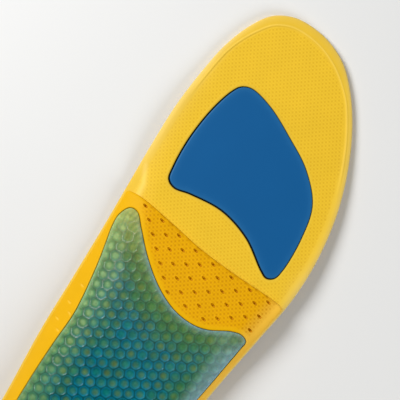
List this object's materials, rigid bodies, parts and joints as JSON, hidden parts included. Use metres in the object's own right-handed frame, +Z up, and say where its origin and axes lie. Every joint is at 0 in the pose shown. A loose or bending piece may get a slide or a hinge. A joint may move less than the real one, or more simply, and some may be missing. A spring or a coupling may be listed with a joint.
{
  "type": "shoe insole",
  "caption": "Full-length cushioned insole for a left shoe, lying foot side down: embossed foam sheet, perforated arch and heel foam, honeycomb heel gel and a smooth forefoot pad.",
  "frame": {"origin": "centre of the bounding box in X and Y, on the table the insole lies on", "axes": "+X from the inner arch side to the outer side, +Y from heel to toe, +Z up out of the insole's underside"},
  "size_m": [0.0977, 0.285, 0.0256],
  "materials": {
    "sheet_foam": "matte pale yellow foam, finely embossed",
    "support_foam": "matte orange-yellow moulded foam",
    "gel": "glossy translucent blue-green gel",
    "pad": "satin blue elastomer"
  },
  "bodies": {
    "root": {"base_sheet": "sheet_foam", "support_foam": "support_foam", "heel_gel": "gel", "forefoot_pad": "pad"}
  },
  "joints": []
}
